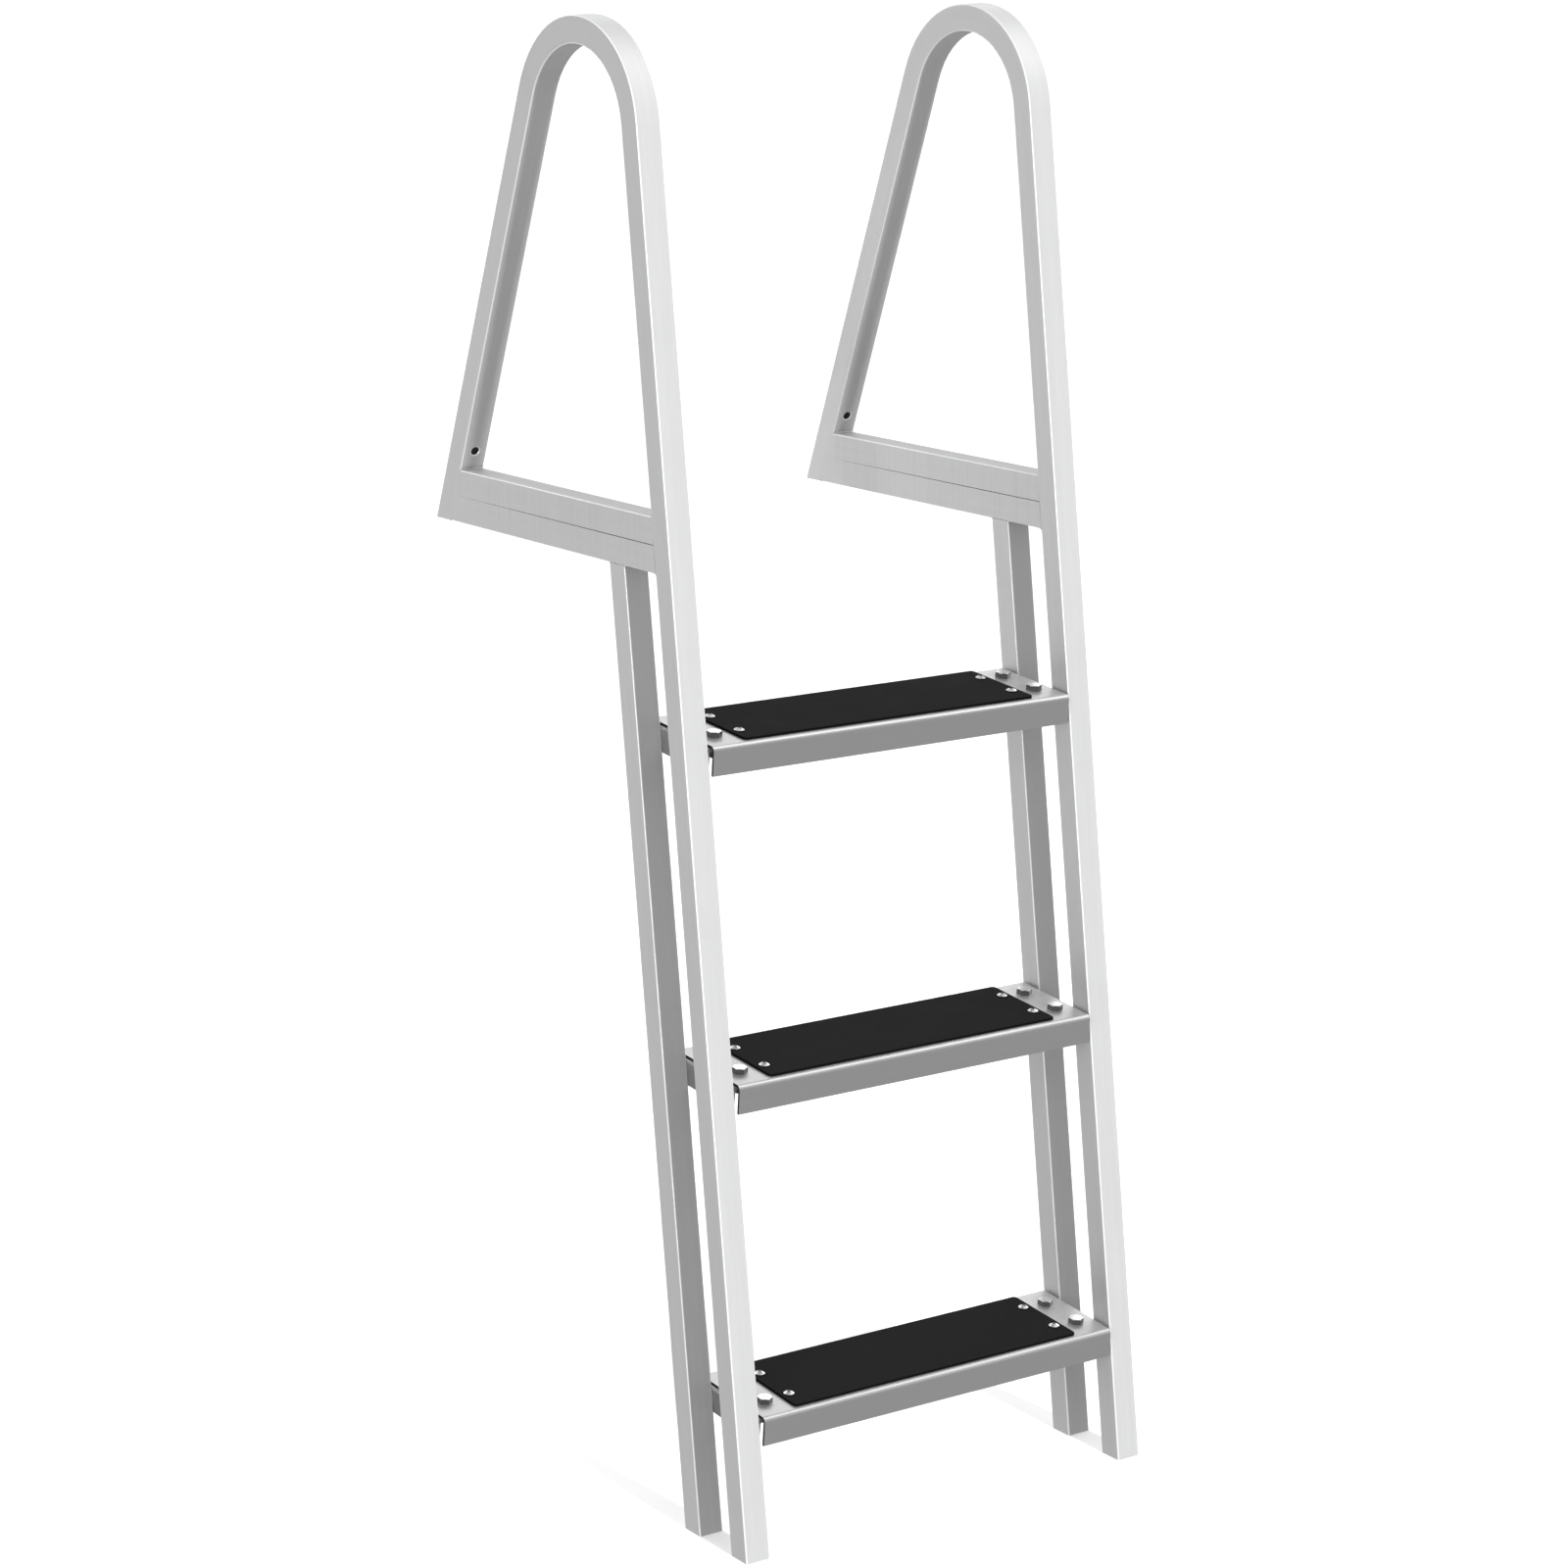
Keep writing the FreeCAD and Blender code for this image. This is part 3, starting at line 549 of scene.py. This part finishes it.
def fillet_weld(bm, x, half_length, corner, first, second, radius):
    """Smooth concave weld in a corner, from its two faces' directions, along X."""
    opening = first.angle(second)
    outward = (first + second).normalized()
    reach = radius / math.tan(opening / 2)
    centre = corner + outward * (radius / math.sin(opening / 2))
    start, end = corner + first * reach, corner + second * reach
    curve = []
    for chord in between(start, end, CURVE_POINTS):
        curve.append(centre + (chord - centre).normalized() * radius)
    root = corner - outward * BEAD_ROOT
    outline = [root, start - second * BEAD_SINK] + curve + [end - first * BEAD_SINK]
    middle = corner - outward * BEAD_SINK
    sections = []
    for along, shrink in ((-1, BEAD_END), (-BEAD_BODY, 0.0), (BEAD_BODY, 0.0), (1, BEAD_END)):
        ring = [point + (middle - point).normalized() * shrink for point in outline]
        sections.append([Vector((x + along * half_length, point.y, point.z)) for point in ring])
    loft(bm, sections)


def corner_welds(side):
    """Fillets where the bars meet the front leg and the back tube, and on top of the rear leg."""
    x = tube_middle(side)
    half = TUBE / 2 - 0.0007
    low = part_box(f"lower_bar_{side}")[0].z
    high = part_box(f"upper_bar_{side}")[1].z
    spacing = leg_spacing(side)
    back, front = Vector((0, 1, 0)), Vector((0, -1, 0))
    bm = bmesh.new()
    corners = (
        (leg_face(TUBE, low), low, back, -UP_LEG, CORNER_BEAD),
        (leg_face(spacing, low), low, front, -UP_LEG, SMALL_BEAD),
        (leg_face(spacing + TUBE, low), low, back, -UP_LEG, SMALL_BEAD),
        (leg_face(TUBE, high), high, back, UP_LEG, SMALL_BEAD),
        (rail_face(TUBE, high), high, front, UP_RAIL, SMALL_BEAD),
    )
    for y, z, first, second, radius in corners:
        fillet_weld(bm, x, half, Vector((x, y, z)), first, second, radius)
    piece(f"corner_welds_{side}", bm, LOOKS["weld"], "aluminium_tube")


def rippled_bead(bm, start, end, first, second, size):
    """Unground fillet weld with the ripples of its pool, in the corner between two faces."""
    ripples = max(3, round((end - start).length / RIPPLE))
    count = ripples * PER_RIPPLE + 1
    sections = []
    for index, point in enumerate(between(start, end, count)):
        share = index / (count - 1)
        phase = (index % PER_RIPPLE) / PER_RIPPLE
        taper = min(1.0, 6 * min(share, 1 - share) + 0.45)
        uneven = 0.93 + 0.12 * math.sin(math.pi * phase) + 0.05 * noise.noise(point * 400)
        swell = size * taper * uneven
        ring = [point - (first + second) * BEAD_SINK]
        for turn in range(ROUND_POINTS):
            angle = math.pi / 2 * turn / (ROUND_POINTS - 1)
            bulge = 1 - 0.22 * math.sin(2 * angle)
            out = first * math.cos(angle) + second * math.sin(angle)
            ring.append(point + out * swell * bulge)
        sections.append(ring)
    loft(bm, sections)


def bracket_welds(name, side):
    """Beads that hold a step's bracket to the inner faces of the two legs, under its lower edge."""
    sign = SIDES[side]
    middle, depth, height = tilted_block(f"bracket_{name}_{side}")
    low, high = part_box(f"bracket_{name}_{side}")
    edge = middle - UP_STEP * height / 2
    edge.x = high.x if sign > 0 else low.x
    foot = Vector((edge.x, leg_face(0, 0), 0))
    behind_front = (edge - foot).dot(-OUT_LEG)
    pace = ACROSS_STEP.dot(-OUT_LEG)
    margin = TUBE_ROUND + 0.0005
    bm = bmesh.new()
    for offset in (0, leg_spacing(side)):
        front = max((offset + margin - behind_front) / pace, -depth / 2)
        back = min((offset + TUBE - margin - behind_front) / pace, depth / 2)
        start, end = edge + ACROSS_STEP * front, edge + ACROSS_STEP * back
        rippled_bead(bm, start, end, Vector((-sign, 0, 0)), -UP_STEP, BRACKET_BEAD)
    piece(f"bracket_welds_{name}_{side}", bm, LOOKS["weld"], "aluminium_sheet")


# ---------------------------------------------------------------- mats

MAT_CORNER = 0.004
MAT_LIP = 0.0007
MAT_CELL = 0.002
MAT_WAVE = 0.00006  # how much the rubber's top wanders
SCREW_HEAD = 0.005  # radius of a mat screw's head
DIMPLE = 0.00045  # how far a screw head draws the rubber down
DIMPLE_RADIUS = 0.0075
TINY = 1e-6


def grid_lines(half):
    """Lines across a mat: one corner's width in from each edge, then even cells."""
    inner = half - MAT_CORNER
    cells = round(2 * inner / MAT_CELL)
    return [-half] + [-inner + 2 * inner * index / cells for index in range(cells + 1)] + [half]


def mat(name):
    """Rubber mat with rounded corners and top edge, drawn down a little by its screws."""
    middle, depth, thick = tilted_block(f"mat_{name}")
    low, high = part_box(f"mat_{name}")
    half_x, half_y = (high.x - low.x) / 2, depth / 2
    screw_low, screw_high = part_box(f"mat_screws_{name}")
    screw_x = (screw_high.x - screw_low.x) / 2 - SCREW_HEAD
    screw_y = (screw_high.y - screw_low.y) / 2 / math.cos(STEP_TILT) - SCREW_HEAD
    screws_ahead = ((screw_low + screw_high) / 2 - middle).dot(ACROSS_STEP)

    columns, rows = grid_lines(half_x), grid_lines(half_y)
    bm = bmesh.new()
    top = [[bm.verts.new((x, y, thick)) for y in rows] for x in columns]
    for left, right in zip(top, top[1:]):
        for index in range(len(rows) - 1):
            bm.faces.new((left[index], right[index], right[index + 1], left[index + 1]))
    rim = [edge for edge in bm.edges if edge.is_boundary]
    skirt = bmesh.ops.extrude_edge_only(bm, edges=rim)["geom"]
    for item in skirt:
        if isinstance(item, bmesh.types.BMVert):
            item.co.z = 0

    def upright_corner(edge):
        first, second = (vert.co for vert in edge.verts)
        at_corner = half_x - abs(first.x) < TINY and half_y - abs(first.y) < TINY
        return abs(first.z - second.z) > thick / 2 and at_corner

    def round_off(edges, offset, segments):
        bmesh.ops.bevel(
            bm, geom=edges, offset=offset, segments=segments, profile=0.5, affect="EDGES"
        )

    round_off([edge for edge in bm.edges if upright_corner(edge)], MAT_CORNER * 0.97, 6)
    lip = [
        edge
        for edge in bm.edges
        if all(vert.co.z > thick - TINY for vert in edge.verts)
        and any(abs(face.normal.z) < 0.5 for face in edge.link_faces)
    ]
    round_off(lip, MAT_LIP, 3)
    underside = bm.verts.new((0, 0, 0))
    for edge in [edge for edge in bm.edges if edge.is_boundary]:
        bm.faces.new((*edge.verts, underside))
    for vert in bm.verts:
        if vert.co.z > thick / 3:
            sag = MAT_WAVE * noise.noise(vert.co * 60)
            for x in (-screw_x, screw_x):
                for y in (-screw_y, screw_y):
                    away = math.hypot(vert.co.x - x, vert.co.y - screws_ahead - y)
                    sag -= DIMPLE * math.exp(-((away / DIMPLE_RADIUS) ** 4))
            vert.co.z = min(vert.co.z + sag, thick)
        local = vert.co.copy()
        vert.co = middle + ACROSS_STEP * local.y + UP_STEP * (local.z - thick / 2)
        vert.co.x = local.x + middle.x
    piece(f"rubber_mat_{name}", bm, LOOKS["mat"], "rubber_mat", f"mat_{name}")


for side in SIDES:
    ground_welds(side)
    corner_welds(side)
    for name in STEPS:
        bracket_welds(name, side)
for name in STEPS:
    mat(name)


# ---------------------------------------------------------------- studio

# Azimuth 0 is the ladder's front, 90 its right. Distances are from the middle of its box.

# the camera looks from the front left and a little above
CAMERA_AZIMUTH = -34.64
CAMERA_ELEVATION = 12.94
CAMERA_DISTANCE = 3.922
CAMERA_AIM = Vector((-0.0089, -0.0045, -0.0384))  # from the middle of the ladder's box
CAMERA_LENS = 94.35
SENSOR_WIDTH = 36.0
CLIP_END = 300.0

FLOOR_RADIUS = 90.0
FLOOR_GLOW = 0.27  # a little of its own light keeps shadows on the floor faint

KEY_LIGHT = {"azimuth": 0, "elevation": 18, "strength": 3.8, "spread": 4}
SOFTBOXES = {
    # azimuth, elevation, distance, width, height, watts
    "top_right": (68, 53, 3.0, 1.8, 1.8, 8),
    "front_left": (-55, 4, 3.2, 0.16, 3.0, 25),
    "right_fill": (105, 15, 3.2, 1.6, 2.4, 30),
    "rim_back": (-164, 36, 3.2, 1.2, 0.8, 6),
    "back_right": (144, 27, 8.0, 5.0, 2.0, 42),
    "between_frames": (-171.5, -3, 2.0, 0.6, 1.16, 7.2),
}

BRIGHT_SIDE = Vector((-0.80, 0.45, 0.30)).normalized()
ROOM_DARK, ROOM_BRIGHT = 0.33, 0.72
WHITE = (1, 1, 1, 1)


def facing(azimuth, elevation):
    """Unit vector from the ladder towards a light or camera."""
    a, e = math.radians(azimuth), math.radians(elevation)
    return Vector((math.sin(a) * math.cos(e), -math.cos(a) * math.cos(e), math.sin(e)))


def aimed(name, data, azimuth, elevation, distance=0.0, aim=Vector((0, 0, 0))):
    """Put a light or camera in the scene, at a distance and looking back at the ladder."""
    obj = bpy.data.objects.new(name, data)
    back = facing(azimuth, elevation)
    obj.location = (cad_box[0] + cad_box[1]) / 2 + aim + back * distance
    obj.rotation_euler = back.to_track_quat("Z", "Y").to_euler()
    bpy.context.scene.collection.objects.link(obj)
    return obj


def floor():
    bm = bmesh.new()
    bmesh.ops.create_circle(bm, cap_ends=True, segments=96, radius=FLOOR_RADIUS)
    mesh = bpy.data.meshes.new("floor")
    bm.to_mesh(mesh)
    bm.free()
    obj = bpy.data.objects.new("floor", mesh)
    obj.location.z = cad_box[0].z
    bpy.context.scene.collection.objects.link(obj)
    s = Shader("pale_floor")
    s.feed(s.surface.inputs["Base Color"], s.mix(s.noise(s.place, 3.0), grey(0.90), grey(0.92)))
    s.surface.inputs["Roughness"].default_value = 0.9
    s.surface.inputs["Specular IOR Level"].default_value = 0.1
    s.surface.inputs["Emission Color"].default_value = grey(1.0)
    s.surface.inputs["Emission Strength"].default_value = FLOOR_GLOW
    obj.data.materials.append(s.material)
    obj.visible_glossy = False
    obj.visible_diffuse = False


def room():
    """A pale room, brightest to the left and behind, and plain white to the camera."""
    world = bpy.data.worlds.new("room")
    bpy.context.scene.world = world
    world.use_nodes = True
    nodes, links = world.node_tree.nodes, world.node_tree.links
    place = nodes.new("ShaderNodeTexCoord")
    towards = nodes.new("ShaderNodeVectorMath")
    towards.operation = "DOT_PRODUCT"
    links.new(place.outputs["Generated"], towards.inputs[0])
    towards.inputs[1].default_value = BRIGHT_SIDE
    strength = nodes.new("ShaderNodeMapRange")
    spread = {"From Min": -1, "From Max": 1, "To Min": ROOM_DARK, "To Max": ROOM_BRIGHT}
    for key, setting in spread.items():
        strength.inputs[key].default_value = setting
    links.new(towards.outputs["Value"], strength.inputs["Value"])
    glow = nodes["Background"]
    glow.inputs["Color"].default_value = WHITE
    links.new(strength.outputs["Result"], glow.inputs["Strength"])
    backdrop = nodes.new("ShaderNodeBackground")
    backdrop.inputs["Color"].default_value = WHITE
    choose = nodes.new("ShaderNodeMixShader")
    seen = nodes.new("ShaderNodeLightPath")
    links.new(seen.outputs["Is Camera Ray"], choose.inputs[0])
    links.new(glow.outputs[0], choose.inputs[1])
    links.new(backdrop.outputs[0], choose.inputs[2])
    links.new(choose.outputs[0], nodes["World Output"].inputs["Surface"])


def key_light(azimuth, elevation, strength, spread):
    data = bpy.data.lights.new("key", "SUN")
    data.energy = strength
    data.angle = math.radians(spread)
    sun = aimed("key", data, azimuth, elevation)
    sun.visible_glossy = False  # its reflection would burn out the legs, seen from straight ahead


def softbox(name, azimuth, elevation, distance, width, height, power):
    data = bpy.data.lights.new(name, "AREA")
    data.shape = "RECTANGLE"
    data.size = width
    data.size_y = height
    data.energy = power
    aimed(name, data, azimuth, elevation, distance)


def camera():
    data = bpy.data.cameras.new("camera")
    data.lens = CAMERA_LENS
    data.sensor_width = SENSOR_WIDTH
    data.clip_end = CLIP_END
    bpy.context.scene.camera = aimed(
        "camera", data, CAMERA_AZIMUTH, CAMERA_ELEVATION, CAMERA_DISTANCE, CAMERA_AIM
    )


floor()
room()
key_light(**KEY_LIGHT)
for light_name, spec in SOFTBOXES.items():
    softbox(light_name, *spec)
camera()
bpy.context.scene.view_settings.view_transform = "Standard"
